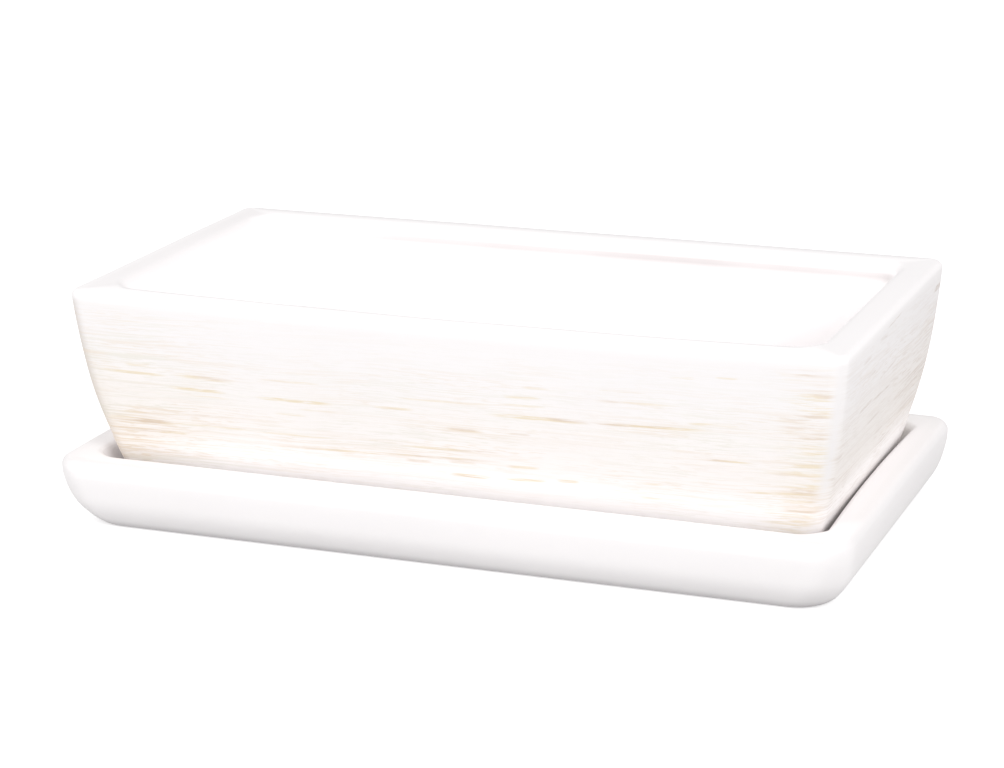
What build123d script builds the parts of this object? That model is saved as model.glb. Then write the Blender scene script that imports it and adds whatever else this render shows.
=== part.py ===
"""Indoor herb planter: an oblong glazed pot standing loose in its drip tray.

Millimetres, +Z up, +X along the planter, origin on the table under the middle of the tray.
"""
import os
from math import hypot, sqrt

from build123d import *

# Planter pot, outside
rim_length = 250.4  # over the rim's sharp edge, along X
rim_width = 127.4  # over the rim's sharp edge, along Y
pot_height = 71.4
wall_lean = 14.5  # how far the foot lies inside the rim, all round
wall_swell = 2.2  # how far the walls bulge out from a straight line
pot_corner_round = 5.0  # upright corners
rim_outer_round = 2.2
foot_bevel = 2.0

# Planter pot, inside
rim_thickness = 11.7
rim_inner_round = 3.5
wall_thickness = 9.0  # low down, at the level of the floor
inside_round = 8.0  # corners, and round the floor
floor_thickness = 9.0

# Planter pot, foot and drain
foot_ring_width = 9.0
foot_ring_height = 2.5
drain_notch_width = 14.0  # gaps in the foot ring, where water runs out into the tray
drain_hole_diameter = 12.0
drain_hole_spacing = 110.0
drain_hole_count = 2
drain_hole_bevel = 1.5
pot_off_centre = 1.2  # the loose pot stands a little to the right in its tray

# Drip tray
tray_height = 23.0
tray_rim_width = 11.0
tray_end_gap = 2.7  # between the tray's rim and the pot's end walls
tray_side_gap = 5.2  # between the tray's rim and the pot's long walls
tray_lean = 9.0  # how far the tray's foot lies inside its rim, all round
tray_swell = 2.5
tray_corner_round = 11.0
tray_rim_round = 2.5
tray_foot_edge_round = 3.0
tray_floor_thickness = 5.0
tray_inside_lean = 4.0
tray_inside_corner_round = 8.0
tray_inside_floor_bevel = 3.0
tray_foot_ring_width = 10.0
tray_foot_ring_height = 1.0


def wall_inset(height):
    """How far the pot's curved wall lies inside its rim, at a height above its foot."""
    chord = hypot(wall_lean, pot_height)
    radius = (chord**2 / 4 + wall_swell**2) / (2 * wall_swell)
    centre_inset = wall_lean / 2 + pot_height / chord * (radius - wall_swell)
    centre_height = pot_height / 2 + wall_lean / chord * (radius - wall_swell)
    return centre_inset - sqrt(radius**2 - (height - centre_height) ** 2)


# Heights above the table
seat_height = tray_foot_ring_height + tray_floor_thickness  # the pot's foot on the tray's floor
rim_height = seat_height + pot_height
floor_rise = foot_ring_height + floor_thickness  # the pot's floor above its foot
floor_height = seat_height + floor_rise

# Outlines in plan
foot_length = rim_length - 2 * wall_lean
foot_width = rim_width - 2 * wall_lean
mouth_length = rim_length - 2 * rim_thickness
mouth_width = rim_width - 2 * rim_thickness
inside_lean = wall_inset(floor_rise) + wall_thickness - rim_thickness
inset_at_tray_rim = wall_inset(tray_height - seat_height)
tray_mouth_length = rim_length - 2 * inset_at_tray_rim + 2 * tray_end_gap
tray_mouth_width = rim_width - 2 * inset_at_tray_rim + 2 * tray_side_gap
tray_length = tray_mouth_length + 2 * tray_rim_width
tray_width = tray_mouth_width + 2 * tray_rim_width


def side_view(plane, span, bottom, top, lean, swell):
    """A tub seen square on: a level foot, a level top, and sides that lean out and may swell."""
    top_half = span / 2
    foot_half = top_half - lean
    with BuildSketch(plane) as view:
        with BuildLine():
            Line((-foot_half, bottom), (foot_half, bottom))
            if swell:
                SagittaArc((foot_half, bottom), (top_half, top), -swell)
            else:
                Line((foot_half, bottom), (top_half, top))
            Line((top_half, top), (0, top))
            mirror(about=Plane.YZ)
        make_face()
    return view.sketch


def tub(length, width, bottom, top, lean, corner_round, swell=0, round_floor=False):
    """A solid tub where a front view and an end view cross, with rounded upright corners."""
    front = side_view(Plane.XZ, length, bottom, top, lean, swell)
    end = side_view(Plane.YZ, width, bottom, top, lean, swell)
    with BuildPart() as body:
        extrude(front, amount=width, both=True)
        extrude(end, amount=length, both=True, mode=Mode.INTERSECT)
        level_edges = body.edges().filter_by(Axis.X) + body.edges().filter_by(Axis.Y)
        round_edges = body.edges() - level_edges
        if round_floor:
            round_edges += level_edges.group_by(Axis.Z)[0]
        fillet(round_edges, corner_round)
    return body.part


# The pot: a swelling tub, hollowed by a straight-sided one
pot_outside = tub(rim_length, rim_width, seat_height, rim_height, wall_lean, pot_corner_round, wall_swell)
pot_inside = tub(
    mouth_length, mouth_width, floor_height, rim_height, inside_lean, inside_round, round_floor=True
)

pot_place = Plane((pot_off_centre, 0, 0))
with BuildPart(pot_place) as planter_pot:
    add(pot_outside)
    chamfer(planter_pot.faces().sort_by(Axis.Z)[0].edges(), foot_bevel)
    add(pot_inside, mode=Mode.SUBTRACT)
    fillet(planter_pot.faces().sort_by(Axis.Z)[-1].inner_wires()[0].edges(), rim_inner_round)
    fillet(planter_pot.faces().sort_by(Axis.Z)[-1].outer_wire().edges(), rim_outer_round)

    # A foot ring, cut through on all four sides
    with BuildSketch(pot_place.offset(seat_height)):
        Rectangle(foot_length - 2 * foot_ring_width, foot_width - 2 * foot_ring_width)
        Rectangle(rim_length, drain_notch_width)
        Rectangle(drain_notch_width, rim_width)
    extrude(amount=foot_ring_height, mode=Mode.SUBTRACT)

    # Drain holes, eased at the top
    with GridLocations(drain_hole_spacing, 0, drain_hole_count, 1):
        Hole(drain_hole_diameter / 2)
    hole_edges = planter_pot.edges().filter_by(GeomType.CIRCLE).filter_by(lambda e: e.is_closed)
    chamfer(hole_edges.group_by(Axis.Z)[-1], drain_hole_bevel)

# The tray: a shallow swelling tub, hollowed by a straight-sided one, on a low foot ring
tray_outside = tub(tray_length, tray_width, 0, tray_height, tray_lean, tray_corner_round, tray_swell)
tray_inside = tub(
    tray_mouth_length, tray_mouth_width, seat_height, tray_height, tray_inside_lean, tray_inside_corner_round
)

with BuildPart() as drip_tray:
    add(tray_outside)
    fillet(drip_tray.faces().sort_by(Axis.Z)[0].edges(), tray_foot_edge_round)
    add(tray_inside, mode=Mode.SUBTRACT)
    inside_floor = drip_tray.faces().filter_by(Axis.Z).sort_by(Axis.Z)[1]
    chamfer(inside_floor.edges(), tray_inside_floor_bevel)
    fillet(drip_tray.faces().sort_by(Axis.Z)[-1].edges(), tray_rim_round)
    recess_margin = 2 * (tray_lean + tray_foot_ring_width)
    with BuildSketch(Plane.XY):
        RectangleRounded(tray_length - recess_margin, tray_width - recess_margin, tray_inside_corner_round)
    extrude(amount=tray_foot_ring_height, mode=Mode.SUBTRACT)

planter_pot.part.label = "planter_pot"
drip_tray.part.label = "drip_tray"

os.makedirs("parts", exist_ok=True)
export_step(planter_pot.part, "parts/planter_pot.step")
export_step(drip_tray.part, "parts/drip_tray.step")
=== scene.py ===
"""Indoor herb planter: the look of a brushed, glazed pot standing in its plain drip tray.

Metres, +Z up, +X along the planter. The sizes of the clay are in millimetres and repeat the solids'
own, apart from those that are said to differ.
"""

import math
from dataclasses import dataclass, replace

import bmesh
import bpy
import numpy as np
from mathutils import Matrix, Vector, noise


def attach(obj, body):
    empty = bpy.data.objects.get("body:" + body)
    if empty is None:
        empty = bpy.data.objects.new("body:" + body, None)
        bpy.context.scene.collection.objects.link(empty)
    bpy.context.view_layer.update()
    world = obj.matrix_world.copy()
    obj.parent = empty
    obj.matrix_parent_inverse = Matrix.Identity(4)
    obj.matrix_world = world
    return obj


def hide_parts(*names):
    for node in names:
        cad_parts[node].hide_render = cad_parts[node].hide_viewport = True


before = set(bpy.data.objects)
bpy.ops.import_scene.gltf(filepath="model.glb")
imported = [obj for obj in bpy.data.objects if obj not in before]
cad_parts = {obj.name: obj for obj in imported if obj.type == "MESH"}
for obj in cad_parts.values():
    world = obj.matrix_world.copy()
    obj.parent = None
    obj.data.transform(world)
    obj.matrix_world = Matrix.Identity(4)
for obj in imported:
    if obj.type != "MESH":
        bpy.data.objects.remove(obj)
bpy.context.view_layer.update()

MM = 0.001

# Planter pot
RIM_LENGTH, RIM_WIDTH = 250.4, 127.4
POT_HEIGHT = 71.4
WALL_LEAN, WALL_SWELL = 14.5, 2.2
POT_CORNER = 5.0
RIM_THICKNESS = 11.7
RIM_OUTER_ROUND, RIM_INNER_ROUND = 2.2, 3.5
WALL_THICKNESS = 9.0
INSIDE_ROUND = 8.0
FLOOR_RISE = 11.5  # the inside floor above the foot
FOOT_BEVEL = 2.0  # taken as a round here
FOOT_RING_WIDTH, FOOT_RING_HEIGHT = 9.0, 2.5
NOTCH_HALF_WIDTH = 7.0
HOLE_RADIUS, HOLE_FLARE, HOLE_REACH = 6.0, 1.5, 55.0
POT_OFF_CENTRE = 1.2  # the loose pot stands a little to the right in its tray

# Drip tray
TRAY_HEIGHT = 23.0
TRAY_RIM_WIDTH = 11.0
TRAY_END_GAP, TRAY_SIDE_GAP = 2.7, 5.2
TRAY_LEAN, TRAY_SWELL = 9.0, 2.5
TRAY_CORNER = 11.0
TRAY_RIM_ROUND = 2.5
TRAY_FOOT_ROUND = 3.0
TRAY_INSIDE_LEAN, TRAY_INSIDE_CORNER = 4.0, 8.0
TRAY_FOOT_RING_WIDTH, TRAY_FOOT_RING_HEIGHT = 10.0, 1.0
SEAT = 6.0  # the tray's floor, which the pot's foot stands on
RIM_TOP = SEAT + POT_HEIGHT

# Where the fired clay differs from the solids
RIM_SAG = 1.34  # the front rim dips at the middle
RIM_CROWN, TRAY_RIM_CROWN = 0.15, 0.12  # how far a rim's edges lie below its middle
RIM_WAVE, TRAY_RIM_WAVE = 0.15, 0.2
WALL_FULLNESS, TRAY_FULLNESS = 0.7, 0.5  # the walls swell a little more
TRAY_LONG_RIM_ROUND = 4.0  # the outer edge is softer along the tray's sides than at its ends
TRAY_FLOOR_ROUND = 3.5  # a round where the solid has a bevel
TRAY_END_BOW = 0.3  # the end rims' inner edges bow towards the pot in the middle
TRAY_END_SPREAD = 1.5  # and fall back by this much from there to the corners

# Mesh
LONG_STEPS, SHORT_STEPS, TURN_STEPS = 84, 44, 10
HOLE_STEPS = 40
RIM_SHARES = (0.12, 0.31, 0.5, 0.69, 0.88)  # rings across the top of a rim
FLOOR_LOOPS = (0.8, 2.0)  # rings on a floor, beside its edge
RIM_REACH = 6.0  # how far under the rim the wall's slope is taken for the rim's round
SHARP_ANGLE = 38


def ease(low, high, value):
    """0 at low, 1 at high and an eased step between them."""
    t = np.clip((np.asarray(value, float) - low) / (high - low), 0, 1)
    return t * t * (3 - 2 * t)


def hump(middle, width, value):
    """A soft peak of height 1."""
    return np.exp(-(((np.asarray(value, float) - middle) / width) ** 2))


def arc_inset(rise, lean, swell, height):
    """How far a leaning wall that swells lies inside its rim, at a height above its foot."""
    chord = math.hypot(lean, height)
    radius = (chord**2 / 4 + swell**2) / (2 * swell)
    centre_inset = lean / 2 + height / chord * (radius - swell)
    centre_rise = height / 2 + lean / chord * (radius - swell)
    return centre_inset - math.sqrt(radius**2 - (rise - centre_rise) ** 2)


def bend(start, corner, end, radius, steps):
    """Points round a profile's corner, from the line that comes in to the line that goes out."""
    start, corner, end = Vector(start), Vector(corner), Vector(end)
    come, go = (corner - start).normalized(), (end - corner).normalized()
    turn = come.angle(go)
    reach = radius * math.tan(turn / 2)
    side = (go - come * come.dot(go)).normalized()
    first = corner - come * reach
    centre = first + side * radius
    points = []
    for k in range(steps + 1):
        a = turn * k / steps
        points.append(tuple(centre - side * radius * math.cos(a) + come * radius * math.sin(a)))
    return points


@dataclass
class Tub:
    """The sizes of a hollow tub on a foot ring, and the steps that its skin is made in."""

    length: float
    width: float
    bottom: float  # above the table, like the floor
    height: float
    lean: float
    swell: float
    corner: float
    rim_width: float
    rim_outer_round: float
    rim_inner_round: float
    floor: float
    inside_lean: float
    inside_corner: float
    floor_round: float
    floor_corner: float  # the least corner in plan, at the edge of the flat floor
    ring_width: float
    ring_height: float
    ring_corner: float
    ring_edge_round: float
    ring_loops: tuple  # rings under the foot ring, from its inner and its outer edge
    foot_round: float
    foot_reach: float  # how far above the foot the wall's slope is taken for the foot's round
    wall_margins: tuple  # between the wall's rings and the rounds below and above them
    edge_steps: int
    foot_steps: int
    wall_steps: int
    rim_outer_steps: int
    rim_inner_steps: int
    inside_shares: tuple  # rings down the inside, as shares of the way
    floor_steps: int

    @property
    def top(self):
        return self.bottom + self.height

    @property
    def recess_top(self):
        return self.bottom + self.ring_height

    def wall(self, rise):
        """The wall's inset at a height above the foot."""
        return arc_inset(rise, self.lean, self.swell, self.height)


inset_at_floor = arc_inset(FLOOR_RISE, WALL_LEAN, WALL_SWELL, POT_HEIGHT)
POT = Tub(
    length=RIM_LENGTH,
    width=RIM_WIDTH,
    bottom=SEAT,
    height=POT_HEIGHT,
    lean=WALL_LEAN,
    swell=WALL_SWELL,
    corner=POT_CORNER,
    rim_width=RIM_THICKNESS,
    rim_outer_round=RIM_OUTER_ROUND,
    rim_inner_round=RIM_INNER_ROUND,
    floor=SEAT + FLOOR_RISE,
    inside_lean=inset_at_floor + WALL_THICKNESS - RIM_THICKNESS,
    inside_corner=INSIDE_ROUND,
    floor_round=INSIDE_ROUND,
    floor_corner=0.6,
    ring_width=FOOT_RING_WIDTH,
    ring_height=FOOT_RING_HEIGHT,
    ring_corner=3.0,
    ring_edge_round=0.6,
    ring_loops=(1.2, 3.2),
    foot_round=FOOT_BEVEL,
    foot_reach=5,
    wall_margins=(0.8, 0.6),
    edge_steps=3,
    foot_steps=6,
    wall_steps=54,
    rim_outer_steps=8,
    rim_inner_steps=10,
    inside_shares=(0.018, *np.linspace(0.04, 0.96, 20)),
    floor_steps=9,
)

pot_inset_at_tray_rim = POT.wall(TRAY_HEIGHT - SEAT)
tray_mouth_length = RIM_LENGTH - 2 * pot_inset_at_tray_rim + 2 * TRAY_END_GAP
tray_mouth_width = RIM_WIDTH - 2 * pot_inset_at_tray_rim + 2 * TRAY_SIDE_GAP
TRAY = Tub(
    length=tray_mouth_length + 2 * TRAY_RIM_WIDTH,
    width=tray_mouth_width + 2 * TRAY_RIM_WIDTH,
    bottom=0,
    height=TRAY_HEIGHT,
    lean=TRAY_LEAN,
    swell=TRAY_SWELL,
    corner=TRAY_CORNER,
    rim_width=TRAY_RIM_WIDTH,
    rim_outer_round=TRAY_LONG_RIM_ROUND,
    rim_inner_round=TRAY_RIM_ROUND,
    floor=SEAT,
    inside_lean=TRAY_INSIDE_LEAN,
    inside_corner=TRAY_INSIDE_CORNER,
    floor_round=TRAY_FLOOR_ROUND,
    floor_corner=3.0,
    ring_width=TRAY_FOOT_RING_WIDTH,
    ring_height=TRAY_FOOT_RING_HEIGHT,
    ring_corner=TRAY_INSIDE_CORNER,
    ring_edge_round=0.35,
    ring_loops=(1.5, 4.0),
    foot_round=TRAY_FOOT_ROUND,
    foot_reach=4,
    wall_margins=(0.5, 0.5),
    edge_steps=2,
    foot_steps=8,
    wall_steps=26,
    rim_outer_steps=10,
    rim_inner_steps=8,
    inside_shares=tuple(np.linspace(0.06, 0.94, 10)),
    floor_steps=7,
)


def tub_profile(tub):
    """A tub's skin from its underside, up the wall and over the rim to its inside floor.

    Gives rings of (inset, height, corner in plan), and the number of each part's first ring.
    """
    recess = tub.lean + tub.ring_width
    aside = tub.ring_width  # any length, for points that only give a level line's direction
    recess_edge, ring_edge = (recess, tub.recess_top), (recess, tub.bottom)
    foot_edge, rim_edge = (tub.lean, tub.bottom), (0, tub.top)
    mouth_edge = (tub.rim_width, tub.top)
    floor_edge = (tub.rim_width + tub.inside_lean, tub.floor)
    above_foot = (tub.wall(tub.foot_reach), tub.bottom + tub.foot_reach)
    under_rim = (tub.wall(tub.height - RIM_REACH), tub.top - RIM_REACH)

    in_recess = (recess + aside, tub.recess_top)
    on_floor = (floor_edge[0] + aside, tub.floor)
    recess_round = bend(in_recess, recess_edge, ring_edge, tub.ring_edge_round, tub.edge_steps)
    ring_round = bend(recess_edge, ring_edge, foot_edge, tub.ring_edge_round, tub.edge_steps)
    foot_round = bend(ring_edge, foot_edge, above_foot, tub.foot_round, tub.foot_steps)
    rim_outer = bend(under_rim, rim_edge, mouth_edge, tub.rim_outer_round, tub.rim_outer_steps)
    rim_inner = bend(rim_edge, mouth_edge, floor_edge, tub.rim_inner_round, tub.rim_inner_steps)
    floor_round = bend(mouth_edge, floor_edge, on_floor, tub.floor_round, tub.floor_steps)

    first_height = foot_round[-1][1] + tub.wall_margins[0]
    last_height = rim_outer[0][1] - tub.wall_margins[1]
    heights = np.linspace(first_height, last_height, tub.wall_steps)
    ring_insets = (recess - tub.ring_loops[0], tub.lean + tub.ring_loops[1])

    outer_flat, inner_flat = rim_outer[-1][0], rim_inner[0][0]
    outer_corner = tub.corner - outer_flat
    corner_growth = tub.inside_corner + tub.rim_inner_round - tub.corner + outer_flat
    rim_top = [
        (outer_flat + (inner_flat - outer_flat) * s, tub.top, outer_corner + corner_growth * s)
        for s in RIM_SHARES
    ]
    down = [Vector(rim_inner[-1]).lerp(Vector(floor_round[0]), s) for s in tub.inside_shares]
    floor_start, floor_end = floor_round[0][0], floor_round[-1][0]

    parts = {
        "recess": [(recess + s, tub.recess_top, tub.ring_corner) for s in reversed(FLOOR_LOOPS)]
        + [(i, h, tub.ring_corner) for i, h in recess_round],
        "foot": [(i, h, tub.ring_corner) for i, h in ring_round]
        + [(i, tub.bottom, tub.ring_corner) for i in ring_insets],
        "foot_round": [(i, h, tub.corner - max(i - tub.lean, 0)) for i, h in foot_round],
        "wall": [(tub.wall(h - tub.bottom), h, tub.corner) for h in heights],
        "rim": [(i, h, tub.corner - i) for i, h in rim_outer] + rim_top,
        "rim_inner": [(i, h, tub.inside_corner + max(tub.rim_width - i, 0)) for i, h in rim_inner],
        "inside": [(i, h, tub.inside_corner) for i, h in down]
        + [(i, h, max(tub.inside_corner - (i - floor_start), tub.floor_corner)) for i, h in floor_round]
        + [(floor_end + s, tub.floor, tub.floor_corner) for s in FLOOR_LOOPS],
    }
    profile, starts = [], {}
    for name, rings in parts.items():
        starts[name] = len(profile)
        profile += rings
    return profile, starts


def places(steps, marks):
    """Places along a side from -1 to 1: even steps and a few marked ones."""
    return np.unique(np.round(np.concatenate([np.linspace(-1, 1, steps + 1), marks]), 4))


foot_side = RIM_LENGTH / 2 - WALL_LEAN - POT_CORNER
foot_end = RIM_WIDTH / 2 - WALL_LEAN - POT_CORNER
notch_edges = np.array([s * (NOTCH_HALF_WIDTH + off) for s in (-1, 1) for off in (-0.8, 0, 0.8)])
LONG_PLACES = places(LONG_STEPS, notch_edges / foot_side)
SHORT_PLACES = places(SHORT_STEPS, notch_edges / foot_end)
RING = 2 * (len(LONG_PLACES) + len(SHORT_PLACES)) + 4 * (TURN_STEPS - 1)


def ring(half_length, half_width, radius):
    """A rounded oblong in plan, anticlockwise from the front's left end.

    Gives its points, and which way is out at each of them.
    """
    turn = np.linspace(0, math.pi / 2, TURN_STEPS + 1)[1:-1, None]
    points, outward = [], []
    for quarter in range(4):
        angle = quarter * math.pi / 2
        along = np.array([math.cos(angle), math.sin(angle)])
        out = np.array([math.sin(angle), -math.cos(angle)])
        on_long_side = quarter % 2 == 0
        half, depth = (half_length, half_width) if on_long_side else (half_width, half_length)
        spots = LONG_PLACES if on_long_side else SHORT_PLACES
        points.append(spots[:, None] * (half - radius) * along + out * depth)
        outward.append(np.tile(out, (len(spots), 1)))
        round_out = out * np.cos(turn) + along * np.sin(turn)
        points.append(along * (half - radius) + out * (depth - radius) + round_out * radius)
        outward.append(round_out)
    return np.concatenate(points), np.concatenate(outward)


class Rings:
    """A tub's skin as stacked rings: where each vertex is, which way is out, its ring and inset.

    spots are moved as the clay is fired, while x, y and z stay those of the true tub.
    """

    def __init__(self, tub):
        profile, self.starts = tub_profile(tub)
        spots, outs, levels = [], [], []
        for k, (inset, height, corner) in enumerate(profile):
            flat, out = ring(tub.length / 2 - inset, tub.width / 2 - inset, corner)
            spots.append(np.column_stack([flat, np.full(len(flat), height)]))
            outs.append(out)
            levels.append(np.full(len(flat), k))
        self.spots, self.outs = np.concatenate(spots), np.concatenate(outs)
        self.levels = np.concatenate(levels)
        self.x, self.y, self.z = self.spots.T.copy()
        self.insets = np.array([inset for inset, _, _ in profile])[self.levels]

    def before(self, part):
        """Which vertices come before a part of the profile."""
        return self.levels < self.starts[part]

    def on_wall(self):
        """Which vertices are on the outside, between the foot's round and the rim."""
        return self.before("rim") & ~self.before("wall")


def rough(points, scale, seed):
    """Smooth noise from 0 to 1 at each point, for the unevenness of hand-finished clay."""
    shift = Vector((seed, seed * 1.7, seed * 0.3))
    values = [noise.noise(Vector(p) * scale + shift) for p in points]
    return np.clip(np.array(values) * 0.6 + 0.5, 0, 1)


def loop_edges(body, loop):
    """The edges round a closed loop of vertices."""
    return [body.edges.get(pair) for pair in zip(loop, loop[1:] + loop[:1])]


def skin(name, spots, holes=()):
    """A closed mesh through stacked rings, with a floor at each end.

    Each hole through both floors is a stack of circles of (x, radius, height).
    """
    body = bmesh.new()
    verts = [body.verts.new(p) for p in spots * MM]
    for low in range(0, len(verts) - RING, RING):
        high = low + RING
        for j in range(RING):
            i = (j + 1) % RING
            body.faces.new((verts[low + j], verts[low + i], verts[high + i], verts[high + j]))
    floor_edges = [loop_edges(body, verts[:RING]), loop_edges(body, verts[-RING:])]
    turn = np.linspace(0, 2 * math.pi, HOLE_STEPS, endpoint=False)
    for hole in holes:
        loops = []
        for x, radius, height in hole:
            circle = [(x + radius * math.cos(a), radius * math.sin(a), height) for a in turn]
            loops.append([body.verts.new([MM * value for value in point]) for point in circle])
        for low, high in zip(loops, loops[1:]):
            for j in range(HOLE_STEPS):
                i = (j + 1) % HOLE_STEPS
                body.faces.new((low[j], high[j], high[i], low[i]))
        for edges, loop in zip(floor_edges, (loops[0], loops[-1])):
            edges.extend(loop_edges(body, loop))
    for edges in floor_edges:
        bmesh.ops.triangle_fill(
            body, use_beauty=True, use_dissolve=False, edges=edges, normal=(0, 0, 1)
        )
    bmesh.ops.recalc_face_normals(body, faces=body.faces)
    mesh = bpy.data.meshes.new(name)
    body.to_mesh(mesh)
    body.free()
    mesh.polygons.foreach_set("use_smooth", [True] * len(mesh.polygons))
    mesh.set_sharp_from_angle(angle=math.radians(SHARP_ANGLE))
    made = bpy.data.objects.new(name, mesh)
    bpy.context.scene.collection.objects.link(made)
    return made


def paint(piece, name, values):
    """Keeps a value for each vertex, for the material to read.

    Vertices past the last value stay at 0.
    """
    layer = piece.data.attributes.new(name, "FLOAT", "POINT")
    full = np.zeros(len(piece.data.vertices), np.float32)
    full[: len(values)] = values
    layer.data.foreach_set("value", full)


def crowned(rings, tub, fall):
    """How far each vertex of a crowned rim lies below the rim's middle."""
    half = tub.rim_width / 2
    near_top = rings.z > tub.top - tub.rim_inner_round - 1
    on_rim = near_top & (rings.insets < tub.rim_width + 0.5)
    return np.where(on_rim, fall * ((rings.insets - half) / half) ** 2, 0)


def fire_pot(rings):
    """Cuts the notches in the foot ring, then bends the clay a little, as firing does."""
    x, y, z, insets, spots = rings.x, rings.y, rings.z, rings.insets, rings.spots

    on_front_or_back = np.abs(rings.outs[:, 1]) > 0.9
    across = np.where(on_front_or_back, np.abs(x), np.abs(y))
    notch = 1 - ease(NOTCH_HALF_WIDTH - 0.7, NOTCH_HALF_WIDTH + 0.7, across)
    notch_top = POT.recess_top - 0.15
    notched = rings.before("wall") & (z < notch_top)
    spots[:, 2] = np.where(notched, np.maximum(z, z + (notch_top - z) * notch), z)

    towards_front = 1 - ease(-RIM_WIDTH / 4, RIM_WIDTH / 4, y)
    towards_middle = 1 - (x / (RIM_LENGTH / 2)) ** 2
    dip = RIM_SAG * towards_middle * towards_front * ease(SEAT + 18, RIM_TOP, z)

    above_foot = ease(SEAT + 4, SEAT + 20, z)
    into_clay = np.where(insets > RIM_THICKNESS - RIM_INNER_ROUND, 0.6, -1)
    uneven = 0.2 * rough(spots * [1, 1, 1.4], scale=0.022, seed=3.1)
    uneven += 0.06 * rough(spots, scale=0.075, seed=8.4)
    fuller = WALL_FULLNESS * hump(SEAT + 37, 20, z) * rings.on_wall()
    spots[:, :2] += rings.outs * (fuller + uneven * above_foot * into_clay)[:, None]
    wave = RIM_WAVE * rough(spots * [1, 1, 0], scale=0.03, seed=5.7)
    wave *= ease(RIM_TOP - 25, RIM_TOP - 2, z)
    spots[:, 2] -= dip + crowned(rings, POT, RIM_CROWN) + wave
    spots[:, 0] += POT_OFF_CENTRE


# A drain hole's skin from the recess up to the inside floor, as (radius, height)
HOLE_PROFILE = [
    (HOLE_RADIUS + 1.6, POT.recess_top),
    (HOLE_RADIUS + 0.5, POT.recess_top),
    (HOLE_RADIUS, POT.recess_top + 0.5),
    (HOLE_RADIUS, POT.floor - HOLE_FLARE - 0.8),
    (HOLE_RADIUS + 0.12, POT.floor - HOLE_FLARE),
    (HOLE_RADIUS + 0.45, POT.floor - 0.7),
    (HOLE_RADIUS + 0.95, POT.floor - 0.2),
    (HOLE_RADIUS + HOLE_FLARE, POT.floor),
    (HOLE_RADIUS + HOLE_FLARE + 1.0, POT.floor),
]


class PotZones:
    """How the pot's vertices lie to its rim, its corners and its long walls."""

    def __init__(self, rings):
        self.drop = RIM_TOP - rings.z
        from_end = RIM_LENGTH / 2 - rings.insets - np.abs(rings.x)
        from_side = RIM_WIDTH / 2 - rings.insets - np.abs(rings.y)
        self.corner_distance = np.maximum(from_end, from_side)
        self.long_wall = ease(0.3, 0.9, np.abs(rings.outs[:, 1]))
        self.along = -np.sign(rings.outs[:, 1]) * rings.x  # left to right, facing a long wall
        self.right_of_start = 1 - self.long_wall * (1 - ease(-112, -72, self.along))


def brush_pot(pot, rings, zones):
    """Where the pot is brushed, and how strongly."""
    drop, corner_distance, along = zones.drop, zones.corner_distance, zones.along
    long_wall, outside = zones.long_wall, rings.on_wall().astype(float)
    near_left = (rings.x < 0) & (rings.y < 0)

    # The load of the brush: it lifts off at the right, and is thin low down
    lifted_off = (1 - ease(0.5, 4.5, corner_distance)) * (1 - ease(36, 50, drop)) * (along > 0)
    long_load = 0.8 + 0.5 * (1 - ease(-110, -55, along)) + 0.35 * ease(96, 112, along)
    end_load = 1.3
    load = (long_wall * long_load + (1 - long_wall) * end_load) * (1 - lifted_off) * outside
    thin_low_down = 1 - 0.7 * ease(42, 52, drop) * zones.right_of_start

    # Strokes start at a left corner
    begun = (1 - ease(0, 9, corner_distance)) * ((along < 0) | near_left) * outside
    paint(pot, "wash", (load * thin_low_down + 1.2 * begun) * ease(8, 38, drop))

    streak_rise = 0.3 + 0.7 * ease(4, 36, drop)
    streak_fall = 0.4 + 0.6 * thin_low_down
    paint(pot, "streaks", load * ease(1, 7, drop) * streak_rise * streak_fall)

    # Painted shade, grey-brown, on the left end beside the front corner
    on_end = ease(0, 0.85, np.abs(rings.outs[:, 0]))
    left_corner_shade_mask = on_end * (1 - ease(4, 18, corner_distance)) * near_left * outside
    paint(pot, "left_corner_shade", 0.45 * left_corner_shade_mask * ease(1, 5, drop))
    paint(pot, "long_wall", long_wall)

    beside_corner = ease(1.5, 4.5, corner_distance) * (1 - ease(8, 21, corner_distance))
    ends = ease(1.5, 6, drop) * beside_corner
    paint(pot, "stroke_ends", ends * long_wall * (along > 0) * outside)


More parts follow.
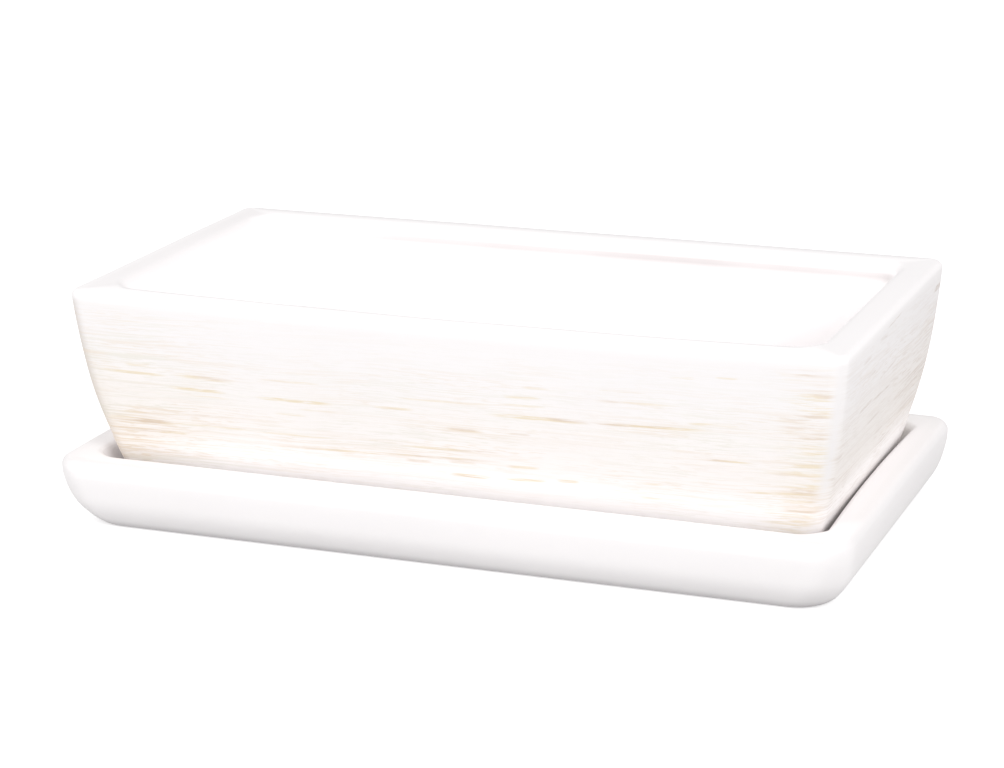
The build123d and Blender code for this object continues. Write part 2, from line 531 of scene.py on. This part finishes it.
def paint_pot_shading(pot, rings, zones):
    """Painted light and shade on the white glaze: lighter low down and inside, darker at the corners
    and high up.
    """
    drop, corner_distance, along = zones.drop, zones.corner_distance, zones.along
    long_wall, insets = zones.long_wall, rings.insets
    out_x, out_y = rings.outs.T

    # Painted light: long walls lighter towards the bottom, most in a band just above the tray, and the
    # ends lighter low down
    lit_low_band = 0.3 * ease(42, 54, drop) * zones.right_of_start
    long_wall_light = 0.42 + 0.22 * ease(15, 45, drop) + lit_low_band
    end_wall_light = 0.55 + 0.1 * ease(20, 36, drop) + 0.25 * ease(30, 54, drop)
    wall_light = long_wall * long_wall_light + (1 - long_wall) * end_wall_light
    # Painted shade at the corners, more at the left one
    corner_shade = np.where(along > 0, 0.18, 0.4)
    wall_light -= ease(6, 36, drop) * corner_shade * (1 - ease(1, 8, corner_distance))

    # Painted light and shade on the rim by which way it faces: lighter facing front, back or left, and
    # lighter from its inner edge inwards
    facing_side, facing_left = ease(0.6, 0.95, np.abs(out_y)), ease(0.6, 0.95, -out_x)
    rim_light = 0.66 + 0.34 * facing_side + 0.14 * facing_left
    rim_light = wall_light + (rim_light - wall_light) * ease(0.8, 3.5, insets)
    rim_light = np.maximum(rim_light, ease(RIM_THICKNESS - 1, RIM_THICKNESS + 0.5, insets))
    # Painted shade lines: on the front rim's inner edge and on the back rim's outer part
    inner_edge = rings.insets[rings.levels == rings.starts["rim_inner"]][0]
    front_edge_shade = hump(inner_edge + 0.5, 0.8, insets) * ease(0.8, 1, -out_y)
    back_edge_shade = 0.65 * (1 - ease(2.2, 8.2, insets)) * ease(0.8, 1, out_y)
    rim_light *= 1 - np.maximum(front_edge_shade, back_edge_shade)

    # Painted light inside the pot, and a darker level in the drain holes; depth holds this painted
    # light and shade, kept as the glaze value
    inside_light, hole_level = 1, 0.7
    depth = np.where(rings.before("inside"), rim_light, inside_light)
    depth = np.where(rings.before("rim"), wall_light, depth)
    hole_vertices = 2 * len(HOLE_PROFILE) * HOLE_STEPS
    paint(pot, "glaze", np.concatenate([depth, np.full(hole_vertices, hole_level)]))


def mark_pot_line_shade_bare(pot, rings, zones):
    """A pink-beige line just under the rim's inner round, painted shade on the left end's rim, and
    where the clay is bare.
    """
    drop, insets, x = zones.drop, rings.insets, rings.x
    out_x = rings.outs[:, 0]
    from_rim_on = ~rings.before("rim")

    under_rim = from_rim_on & (insets > RIM_THICKNESS - 1.2)
    facing_end = ease(0.6, 0.95, np.abs(out_x))
    from_left = 0.3 + 0.55 * ease(-115, -60, x) + 0.15 * ease(-60, 80, x)
    # A pink-beige line just under the rim's inner round, stronger towards the left and faint on the
    # ends
    rim_line = hump(RIM_INNER_ROUND + 1.1, 1.6, drop) * under_rim
    rim_line *= (1 - 0.65 * facing_end) * from_left
    # Painted shade on the left end's rim and upper inside
    left_rim_shade = ease(0.3, 0.9, -out_x) * from_rim_on * ease(2, 5, insets) * (1 - ease(4, 14, drop))
    paint(pot, "rim_line_left_shade", np.maximum(rim_line, 0.17 * left_rim_shade))

    bare_foot = rings.before("wall") * (1 - ease(SEAT + 0.6, SEAT + 1.6, rings.z))
    bare_ring = np.maximum(bare_foot, rings.before("foot"))
    bare_hole = np.repeat([h < POT.recess_top + 0.4 for _, h in HOLE_PROFILE], HOLE_STEPS)
    paint(pot, "bare_clay", np.concatenate([bare_ring, bare_hole, bare_hole]))


def make_pot():
    """The brushed pot with its drain holes."""
    rings = Rings(POT)
    fire_pot(rings)
    hole_places = [POT_OFF_CENTRE + side * HOLE_REACH for side in (-1, 1)]
    drain_holes = [[(x, radius, height) for radius, height in HOLE_PROFILE] for x in hole_places]
    pot = skin("glazed_pot", rings.spots, drain_holes)
    zones = PotZones(rings)
    brush_pot(pot, rings, zones)
    paint_pot_shading(pot, rings, zones)
    mark_pot_line_shade_bare(pot, rings, zones)
    return pot


def fire_tray(rings):
    """Tightens the rim's round at the ends, then bends the clay a little, as firing does."""
    z, insets, outs, spots = rings.z, rings.insets, rings.outs, rings.spots
    end_facing = np.abs(outs[:, 0])

    uneven = 0.2 * rough(spots, scale=0.02, seed=14.2) * ease(2, 8, z) * rings.before("inside")
    fuller = TRAY_FULLNESS * hump(8, 5, z) * rings.on_wall()
    spots[:, :2] += outs * (fuller - uneven)[:, None]

    soft, starts = tub_profile(TRAY)
    tight, _ = tub_profile(replace(TRAY, rim_outer_round=TRAY_RIM_ROUND))
    tightened = ease(0.1, 0.7, end_facing)
    for level in range(starts["rim"], starts["rim"] + TRAY.rim_outer_steps + 1):
        here = rings.levels == level
        (soft_inset, soft_height, _), (tight_inset, tight_height, _) = soft[level], tight[level]
        spots[here, :2] += outs[here] * (soft_inset - tight_inset) * tightened[here, None]
        spots[here, 2] += (tight_height - soft_height) * tightened[here]

    end_bow = TRAY_END_BOW - TRAY_END_SPREAD * (rings.y / (tray_mouth_width / 2)) ** 2
    on_end_mouth = ease(TRAY_RIM_WIDTH / 2, TRAY_RIM_WIDTH, insets) * ease(0.7, 1, end_facing)
    spots[:, 0] -= outs[:, 0] * end_bow * on_end_mouth * ease(SEAT + 4, TRAY_HEIGHT, z)
    wave = TRAY_RIM_WAVE * rough(spots * [1, 1, 0], scale=0.024, seed=17.9)
    wave *= ease(TRAY_HEIGHT - 12, TRAY_HEIGHT - 1, z)
    spots[:, 2] -= wave + crowned(rings, TRAY, TRAY_RIM_CROWN)


def paint_tray_shading(tray, rings):
    """Painted light and shade on the tray's glaze: thin glaze with shade on the rim's outer edge, shade
    at the foot and inside the left end, light on the rim's top.
    """
    z, insets, out_x = rings.z, rings.insets, rings.outs[:, 0]
    on_end = ease(0.5, 1, np.abs(out_x))

    # The rim's outer edge: thin glaze there, with painted shade that evens out the light on its round
    at_edge = 1 - ease(2 - on_end, 6 - 2 * on_end, insets)
    thin_edge_and_shade = ease(TRAY_HEIGHT - 6, TRAY_HEIGHT - 1.5, z) * at_edge
    # Painted light and shade on the sides: lighter at the ends and part way up, painted shade at the
    # foot next to the floor
    foot_shade = 1 - ease(1.2, 3.6, z)
    side_light = 0.59 + 0.06 * on_end + 0.14 * hump(8, 4, z) - 0.35 * thin_edge_and_shade - 0.59 * foot_shade
    # Painted light on the rim's flat top, less on the ends
    on_rim_top = ease(2.5, 6, insets) * (z > TRAY_HEIGHT - 3)
    side_light += (0.35 - 0.1 * on_end) * on_rim_top
    # Painted shade inside the left end, in the gap beside the pot
    inside_light = 1 - 0.5 * ease(0.3, 0.9, -out_x)

    over_the_rim = rings.starts["inside"] - TRAY.rim_inner_steps // 2
    paint(tray, "glaze", np.where(rings.levels < over_the_rim, side_light, inside_light))
    paint(tray, "bare_clay", (rings.levels <= rings.starts["foot_round"]).astype(float))


def make_tray():
    """The plain tray."""
    rings = Rings(TRAY)
    fire_tray(rings)
    tray = skin("glazed_tray", rings.spots)
    paint_tray_shading(tray, rings)
    return tray


class Graph:
    """A material's nodes, joined up as they are made."""

    def __init__(self, tree):
        self.tree = tree

    def node(self, kind, inputs=None, **settings):
        made = self.tree.nodes.new(kind)
        for key, value in settings.items():
            setattr(made, key, value)
        for key, value in (inputs or {}).items():
            if isinstance(value, bpy.types.NodeSocket):
                self.tree.links.new(value, made.inputs[key])
            else:
                made.inputs[key].default_value = value
        return made

    def attribute(self, name):
        return self.node("ShaderNodeAttribute", attribute_name=name).outputs["Fac"]

    def scaled(self, vector, scale, shift=(0, 0, 0)):
        inputs = {"Vector": vector, "Scale": scale, "Location": shift}
        return self.node("ShaderNodeMapping", inputs).outputs[0]

    def noise(self, vector, scale, detail=2.0, roughness=0.5, shift=(0, 0, 0)):
        place = self.scaled(vector, scale, shift)
        inputs = {"Vector": place, "Scale": 1.0, "Detail": detail, "Roughness": roughness}
        return self.node("ShaderNodeTexNoise", inputs).outputs["Fac"]

    def math(self, operation, first, second=0.0, clamp=False):
        inputs = {0: first, 1: second}
        made = self.node("ShaderNodeMath", inputs, operation=operation, use_clamp=clamp)
        return made.outputs[0]

    def times(self, *values):
        product = values[0]
        for value in values[1:]:
            product = self.math("MULTIPLY", product, value)
        return product

    def step(self, value, low, high, bottom=0.0, top=1.0):
        inputs = {"Value": value, "From Min": low, "From Max": high}
        inputs |= {"To Min": bottom, "To Max": top}
        return self.node("ShaderNodeMapRange", inputs, interpolation_type="SMOOTHSTEP").outputs[0]

    def mix(self, factor, first, second):
        made = self.node("ShaderNodeMix", {0: factor, 6: first, 7: second}, data_type="RGBA")
        return made.outputs[2]


def new_material(name):
    material = bpy.data.materials.new(name)
    material.use_nodes = True
    shader = material.node_tree.nodes["Principled BSDF"]
    return material, Graph(material.node_tree), shader


# The white glaze under painted shade and under painted light
GLAZE_SHADED = (0.74, 0.718, 0.723, 1)
GLAZE_LIT = (0.97, 0.945, 0.948, 1)
CREAM = (0.85, 0.79, 0.735, 1)
CLAY = (0.72, 0.64, 0.54, 1)
CLAY_DARK = (0.62, 0.53, 0.43, 1)
TAN = (0.75, 0.645, 0.53, 1)
GOLD = (0.73, 0.60, 0.37, 1)
BROWN = (0.62, 0.485, 0.36, 1)
OLIVE = (0.73, 0.70, 0.62, 1)
PINK_BEIGE = (0.655, 0.612, 0.61, 1)
# Shaded grey copies of the stroke colours, for the end walls and the left corner: painted shade
SHADED_BROWN = (0.58, 0.50, 0.45, 1)
SHADED_TAN = (0.70, 0.63, 0.585, 1)
GLAZE_SHINE = 0.35
STROKE_CLIMB = 3.6e-7  # metres up for each square millimetre of x times y
BACK_SHIFT, LEFT_END_SHIFT = 13.0, 8.0  # how far the far walls' strokes are moved along, in mm

# The plainest strokes of the brush: start, end, half thickness and strength.
# Places are from the wall's middle, left to right as one faces it, and above the table.
LONG_WALL_STROKES = [
    ((-117, 68.6), (-95, 68.9), 0.40, 0.30),
    ((-118, 51.8), (-91, 51.6), 0.60, 0.75),
    ((-107, 54.6), (-97, 54.7), 0.80, 0.55),
    ((-92, 52.4), (-67, 51.8), 0.90, 0.60),
    ((-93, 48.0), (-71, 47.8), 0.70, 0.85),
    ((-90, 45.9), (-70, 45.8), 0.45, 0.35),
    ((-63, 47.4), (-34, 47.5), 0.70, 0.95),
    ((-62, 53.6), (-38, 53.8), 0.50, 0.40),
    ((-117, 35.4), (-89, 35.1), 1.00, 0.85),
    ((-97, 35.5), (-62, 35.6), 0.50, 0.60),
    ((-110, 38.0), (-100, 38.1), 0.40, 0.50),
    ((-90, 39.0), (-70, 39.2), 0.40, 0.45),
    ((-116, 31.6), (-84, 32.0), 0.60, 0.60),
    ((-66, 35.4), (-36, 35.9), 0.45, 0.50),
    ((-57, 42.6), (-44, 42.8), 0.45, 0.50),
    ((-48, 44.8), (-34, 45.0), 0.40, 0.35),
    ((-62, 30.9), (22, 34.0), 0.55, 0.75),
    ((-16, 35.9), (20, 36.9), 0.50, 0.80),
    ((-14, 31.1), (-4, 31.4), 0.60, 0.55),
    ((0, 32.2), (11, 32.5), 0.55, 0.60),
    ((0, 27.7), (15, 28.1), 0.75, 0.90),
    ((18, 28.3), (33, 28.9), 0.65, 0.85),
    ((35, 29.5), (43, 29.8), 0.60, 0.65),
    ((19, 32.6), (31, 33.1), 0.60, 0.65),
    ((0, 43.4), (14, 43.6), 0.65, 0.65),
    ((21, 43.8), (29, 44.0), 0.50, 0.40),
    ((-23, 48.2), (-8, 48.5), 0.55, 0.50),
    ((-16, 51.9), (18, 52.6), 0.45, 0.45),
    ((18, 53.2), (35, 53.6), 0.50, 0.45),
    ((12, 49.6), (50, 50.0), 0.80, 0.85),
    ((44, 50.0), (87, 51.3), 0.55, 0.95),
    ((77, 53.0), (94, 53.6), 0.50, 0.70),
    ((20, 55.9), (33, 56.2), 0.65, 0.60),
    ((26, 59.4), (36, 59.6), 0.50, 0.35),
    ((48, 57.4), (75, 58.0), 0.50, 0.45),
    ((49, 60.9), (67, 61.2), 0.45, 0.30),
    ((80, 42.0), (98, 42.3), 0.45, 0.80),
    ((59, 31.7), (70, 32.0), 0.55, 0.40),
    ((61, 26.9), (69, 27.2), 0.50, 0.40),
    ((93, 32.4), (117, 34.1), 0.50, 0.70),
    ((105, 27.8), (118, 28.3), 0.60, 0.60),
    ((72, 66.8), (81, 67.2), 0.50, 0.40),
    ((86, 68.0), (94, 68.3), 0.40, 0.50),
]
END_WALL_STROKES = [
    ((-14, 73.2), (6, 74.0), 0.40, 0.60),
    ((-41, 69.4), (-30, 69.6), 0.80, 0.40),
    ((-23, 71.6), (-11, 71.2), 0.90, 0.45),
    ((-35, 63.2), (-22, 63.0), 0.60, 0.35),
    ((-17, 58.2), (8, 59.1), 0.50, 0.50),
    ((-40, 53.7), (-21, 53.8), 0.55, 0.65),
    ((-23, 53.0), (3, 51.8), 0.55, 0.65),
    ((-2, 53.2), (14, 50.8), 0.50, 0.40),
    ((-25, 46.1), (-7, 46.0), 0.60, 0.40),
    ((-8, 38.2), (4, 37.8), 0.60, 0.40),
    ((-43, 34.4), (-30, 34.5), 0.50, 0.40),
    ((-61, 38.9), (-53, 38.5), 0.60, 0.50),
    ((-61, 45.2), (-50, 44.8), 0.70, 0.45),
    ((49, 69.4), (65, 70.4), 1.20, 1.00),
]


def stroke_group(name, strokes):
    """Strokes on one wall: takes a place along and up it, in millimetres, and gives the paint."""
    tree = bpy.data.node_groups.new(name, "ShaderNodeTree")
    tree.interface.new_socket("Place", in_out="INPUT", socket_type="NodeSocketVector")
    tree.interface.new_socket("Paint", in_out="OUTPUT", socket_type="NodeSocketFloat")
    g = Graph(tree)
    place = g.node("NodeGroupInput").outputs["Place"]
    paint_here = 0.0
    for start, end, half_thickness, strength in strokes:
        middle = ((start[0] + end[0]) / 2, 0, (start[1] + end[1]) / 2)
        slope = math.atan2(end[1] - start[1], end[0] - start[0])
        size = (math.dist(start, end) / 2, 1, half_thickness)
        inputs = {"Vector": place, "Location": middle, "Rotation": (0, -slope, 0), "Scale": size}
        local = g.node("ShaderNodeMapping", inputs, vector_type="TEXTURE").outputs[0]
        inputs = {0: local, 1: local}
        squared = g.node("ShaderNodeVectorMath", inputs, operation="MULTIPLY").outputs[0]
        distance = g.node("ShaderNodeVectorMath", {0: squared}, operation="LENGTH").outputs["Value"]
        paint_here = g.math("MAXIMUM", paint_here, g.step(distance, 0.1, 1.0, strength, 0.0))
    g.node("NodeGroupOutput", {"Paint": paint_here})
    return tree


def white_glaze(g, place):
    """The white under everything: greyer where painted shade is laid, whiter where painted light is,
    and uneven.
    """
    cloud = g.noise(place, (13, 13, 18), 3, 0.55, (3, 3, 3))
    drift = g.times(g.math("SUBTRACT", cloud, 0.5), 0.25)
    # The glaze value is painted light and shade; the cloud is the glaze's own unevenness
    return g.mix(g.math("ADD", g.attribute("glaze"), drift, True), GLAZE_SHADED, GLAZE_LIT)


def bare_mix(g, shader, colour, roughness):
    """Bare clay where the piece was wiped clean of glaze for the kiln, under its foot."""
    place = g.node("ShaderNodeTexCoord").outputs["Object"]
    wander = g.noise(place, (160, 160, 160), 3)
    stray = g.times(g.math("SUBTRACT", wander, 0.5), 0.5)
    bare = g.step(g.math("ADD", g.attribute("bare_clay"), stray), 0.4, 0.6)
    grit = g.noise(place, (900, 900, 900), 4, 0.7)
    clay = g.mix(g.step(grit, 0.35, 0.7), CLAY, CLAY_DARK)
    g.tree.links.new(g.mix(bare, colour, clay), shader.inputs["Base Color"])
    g.tree.links.new(g.math("ADD", roughness, g.times(bare, 0.3), True), shader.inputs["Roughness"])


def brushed_glaze():
    """White satin glaze, dry-brushed along the walls with tan, ochre and brown."""
    material, g, shader = new_material("brushed_glaze")
    shader.inputs["Specular IOR Level"].default_value = GLAZE_SHINE
    place = g.node("ShaderNodeTexCoord").outputs["Object"]
    wash = g.attribute("wash")
    streaks = g.attribute("streaks")
    long_wall = g.attribute("long_wall")
    in_millimetres = g.scaled(place, (1 / MM,) * 3, (-POT_OFF_CENTRE, 0, 0))
    x, y, z = g.node("ShaderNodeSeparateXYZ", {0: in_millimetres}).outputs

    # Strokes climb a little to the right along each long wall, and wander
    climb = g.times(x, y, STROKE_CLIMB)
    wander = g.times(g.math("SUBTRACT", g.noise(place, (16, 16, 14), 1), 0.5), 0.003)
    rise = g.node("ShaderNodeCombineXYZ", {"Z": g.math("ADD", climb, wander)}).outputs[0]
    brushed = g.node("ShaderNodeVectorMath", {0: place, 1: rise}, operation="ADD").outputs[0]

    # Hair lines left by the bristles, short and long, and broader drags of colour
    patches = g.step(g.noise(place, (14, 14, 60), 2, 0.6, (4, 1, 7)), 0.36, 0.62, 0.3, 1.0)
    short_hairs = g.step(g.noise(brushed, (150, 150, 1900), 2, 0.6), 0.5, 0.68)
    hairs = g.step(g.noise(brushed, (45, 45, 1600), 3, 0.65, (7, 2, 4)), 0.49, 0.66)
    long_hairs = g.step(g.noise(brushed, (13, 13, 1200), 3, 0.65, (1, 6, 3)), 0.53, 0.68)
    hairs = g.math("MAXIMUM", g.math("MAXIMUM", short_hairs, hairs), long_hairs)
    drags = g.step(g.noise(brushed, (16, 16, 520), 4, 0.62, (9, 3, 2)), 0.52, 0.72)
    hair_paint = g.times(hairs, patches, streaks)
    drag_paint = g.times(drags, patches, streaks)

    # Where each stroke of the brush lifted off, beside the corners
    bristles = g.step(g.noise(brushed, (80, 80, 1300), 3, 0.6, (2, 8, 5)), 0.45, 0.63)
    bunches = g.step(g.noise(brushed, (30, 30, 300), 2, 0.5, (5, 1, 9)), 0.4, 0.58, 0.3, 1.0)
    end_paint = g.times(bristles, bunches, g.attribute("stroke_ends"))

    # The plainest strokes, and the same turned about on the far walls
    back_sign = g.math("SIGN", y)
    right_sign = g.math("SIGN", x)
    back_shift = g.times(g.math("ADD", back_sign, 1.0), BACK_SHIFT / 2)
    left_shift = g.times(g.math("SUBTRACT", right_sign, 1.0), LEFT_END_SHIFT / 2)
    along_long_wall = g.math("SUBTRACT", back_shift, g.times(back_sign, x))
    along_end_wall = g.math("ADD", left_shift, g.times(right_sign, y))
    plain_strokes = 0.0
    end_wall = g.math("SUBTRACT", 1.0, long_wall)
    for name, listed, along_wall, share in (
        ("long_wall_strokes", LONG_WALL_STROKES, along_long_wall, long_wall),
        ("end_wall_strokes", END_WALL_STROKES, along_end_wall, end_wall),
    ):
        spot = g.node("ShaderNodeCombineXYZ", {"X": along_wall, "Z": z}).outputs[0]
        laid = g.node("ShaderNodeGroup", node_tree=stroke_group(name, listed))
        g.tree.links.new(spot, laid.inputs["Place"])
        plain_strokes = g.math("ADD", plain_strokes, g.times(laid.outputs["Paint"], share))
    broken = g.step(g.noise(brushed, (110, 110, 2600), 2, 0.6, (1, 5, 3)), 0.34, 0.6, 0.15, 1.0)
    stroke_paint = g.times(plain_strokes, broken, g.step(streaks, 0.0, 0.15))

    tint = g.noise(place, (30, 30, 240), 2, 0.5, (6, 6, 1))
    # The end walls take shaded grey copies of the stroke colours: painted shade
    hair_colour = g.mix(long_wall, SHADED_TAN, g.mix(g.step(tint, 0.4, 0.58), OLIVE, TAN))
    dark_colour = g.mix(long_wall, SHADED_BROWN, g.mix(g.step(tint, 0.5, 0.66), GOLD, BROWN))
    colour = white_glaze(g, place)
    colour = g.mix(g.times(wash, 0.4), colour, CREAM)
    # Painted shade beside the left front corner
    colour = g.mix(g.attribute("left_corner_shade"), colour, SHADED_BROWN)
    colour = g.mix(g.times(drag_paint, 0.3), colour, TAN)
    colour = g.mix(g.times(hair_paint, 0.7), colour, hair_colour)
    colour = g.mix(g.times(end_paint, 0.55), colour, dark_colour)
    colour = g.mix(g.times(stroke_paint, 0.85), colour, dark_colour)
    # The pink-beige line under the rim, and painted shade on the left end's rim
    patchy = g.step(g.noise(place, (22, 22, 22), 2), 0.35, 0.6, 0.8, 1.0)
    colour = g.mix(g.times(g.attribute("rim_line_left_shade"), patchy), colour, PINK_BEIGE)
    dry = g.math("MAXIMUM", hair_paint, g.math("MAXIMUM", end_paint, stroke_paint))
    bare_mix(g, shader, colour, g.math("ADD", 0.52, g.times(dry, 0.15)))

    peel = g.noise(place, (420, 420, 420), 2)
    ridges = g.math("ADD", g.times(hairs, streaks, 0.6), g.times(peel, 0.35))
    bump = g.node("ShaderNodeBump", {"Strength": 0.35, "Distance": 0.00012, "Height": ridges})
    g.tree.links.new(bump.outputs["Normal"], shader.inputs["Normal"])
    return material


def plain_glaze():
    """The same white satin glaze left plain, with a few brown pin spots."""
    material, g, shader = new_material("plain_glaze")
    shader.inputs["Specular IOR Level"].default_value = GLAZE_SHINE
    place = g.node("ShaderNodeTexCoord").outputs["Object"]
    colour = white_glaze(g, place)
    pin_spots = g.node("ShaderNodeTexVoronoi", {"Vector": place, "Scale": 24.0})
    chance = g.node("ShaderNodeSeparateColor", {0: pin_spots.outputs["Color"]}).outputs[0]
    spot = g.step(pin_spots.outputs["Distance"], 0.008, 0.02, 0.8, 0.0)
    colour = g.mix(g.times(spot, g.step(chance, 0.6, 0.7)), colour, BROWN)
    bare_mix(g, shader, colour, 0.53)
    peel = g.noise(place, (300, 300, 300), 2)
    bump = g.node("ShaderNodeBump", {"Strength": 0.25, "Distance": 0.0001, "Height": peel})
    g.tree.links.new(bump.outputs["Normal"], shader.inputs["Normal"])
    return material


pot, tray = make_pot(), make_tray()
for piece, body, node, slot, material in (
    (pot, "pot", "planter_pot", "brushed_glaze", brushed_glaze()),
    (tray, "tray", "drip_tray", "plain_glaze", plain_glaze()),
):
    piece.data.materials.append(material)
    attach(piece, body)
    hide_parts(node)

# The room, in metres
FLOOR_RADIUS, FLOOR_SEGMENTS = 6.0, 96
LIGHT_SIZE, LIGHT_DISTANCE, LIGHT_AIM = 0.9, 1.7, Vector((0, 0, 0.04))
ROOM_STRENGTH = 0.795


def floor_disc(name, height, shade, glow):
    """A plain round floor that glows a little."""
    mesh = bpy.data.meshes.new(name)
    disc = bmesh.new()
    bmesh.ops.create_circle(disc, cap_ends=True, segments=FLOOR_SEGMENTS, radius=FLOOR_RADIUS)
    disc.to_mesh(mesh)
    disc.free()
    material, _, shader = new_material(name)
    shader.inputs["Base Color"].default_value = (shade, shade, shade, 1)
    shader.inputs["Roughness"].default_value = 0.9
    shader.inputs["Specular IOR Level"].default_value = 0.1
    shader.inputs["Emission Color"].default_value = (1, 1, 1, 1)
    shader.inputs["Emission Strength"].default_value = glow
    mesh.materials.append(material)
    made = bpy.data.objects.new(name, mesh)
    made.location.z = height
    bpy.context.scene.collection.objects.link(made)
    return made


# The white floor that is seen, and under it a duller one that throws light back at the planter
white_floor = floor_disc("white_floor", height=0, shade=0.93, glow=0.3)
white_floor.visible_diffuse = white_floor.visible_glossy = white_floor.visible_shadow = False
bounce_floor = floor_disc("bounce_floor", height=-0.0004, shade=0.4, glow=0.165)
bounce_floor.visible_camera = False

# Light: two large soft boxes in a pale room
world = bpy.data.worlds.new("pale_room")
bpy.context.scene.world = world
world.use_nodes = True
room = world.node_tree.nodes["Background"]
room.inputs["Color"].default_value = (1, 1, 1, 1)
room.inputs["Strength"].default_value = ROOM_STRENGTH


def direction(azimuth, elevation):
    """A way out from the planter, in degrees from its front towards its right end, and up."""
    turn, lift = math.radians(azimuth), math.radians(elevation)
    level = math.cos(lift)
    return Vector((math.sin(turn) * level, -math.cos(turn) * level, math.sin(lift)))


def soft_box(name, azimuth, elevation, power):
    """A large round light facing the planter."""
    away = direction(azimuth, elevation)
    data = bpy.data.lights.new(name, "AREA")
    data.shape, data.size, data.energy = "DISK", LIGHT_SIZE, power
    lamp = bpy.data.objects.new(name, data)
    lamp.location = LIGHT_AIM + away * LIGHT_DISTANCE
    lamp.rotation_euler = away.to_track_quat("Z", "Y").to_euler()
    bpy.context.scene.collection.objects.link(lamp)


soft_box("left", azimuth=-40, elevation=18, power=10.8)
soft_box("right", azimuth=55, elevation=25, power=13.5)

# Camera, fitted to the photograph: pixels, degrees and millimetres
FRAME_WIDTH, FOCAL_PIXELS = 1004, 2805.5
SENSOR = 36.0
AZIMUTH, ELEVATION, ROLL = 21.43, 16.2, -0.75
DISTANCE, SLIDE_RIGHT, SLIDE_UP = 896.6, -2.5, -8.9
AIM = Vector((0, 0, 50))
back = direction(AZIMUTH, ELEVATION)
right = Vector((math.cos(math.radians(AZIMUTH)), math.sin(math.radians(AZIMUTH)), 0))
up = back.cross(right)
eye = (AIM + back * DISTANCE + right * SLIDE_RIGHT + up * SLIDE_UP) * MM
roll = math.radians(ROLL)
turned_right = right * math.cos(roll) + up * math.sin(roll)
turned_up = up * math.cos(roll) - right * math.sin(roll)
camera_data = bpy.data.cameras.new("camera")
camera_data.sensor_width = SENSOR
camera_data.lens = FOCAL_PIXELS * SENSOR / FRAME_WIDTH
camera_data.clip_start, camera_data.clip_end = 0.02, 50
camera = bpy.data.objects.new("camera", camera_data)
turned = Matrix((turned_right, turned_up, back)).transposed().to_4x4()
camera.matrix_world = Matrix.Translation(eye) @ turned
bpy.context.scene.collection.objects.link(camera)
bpy.context.scene.camera = camera
bpy.context.scene.view_settings.view_transform = "Standard"
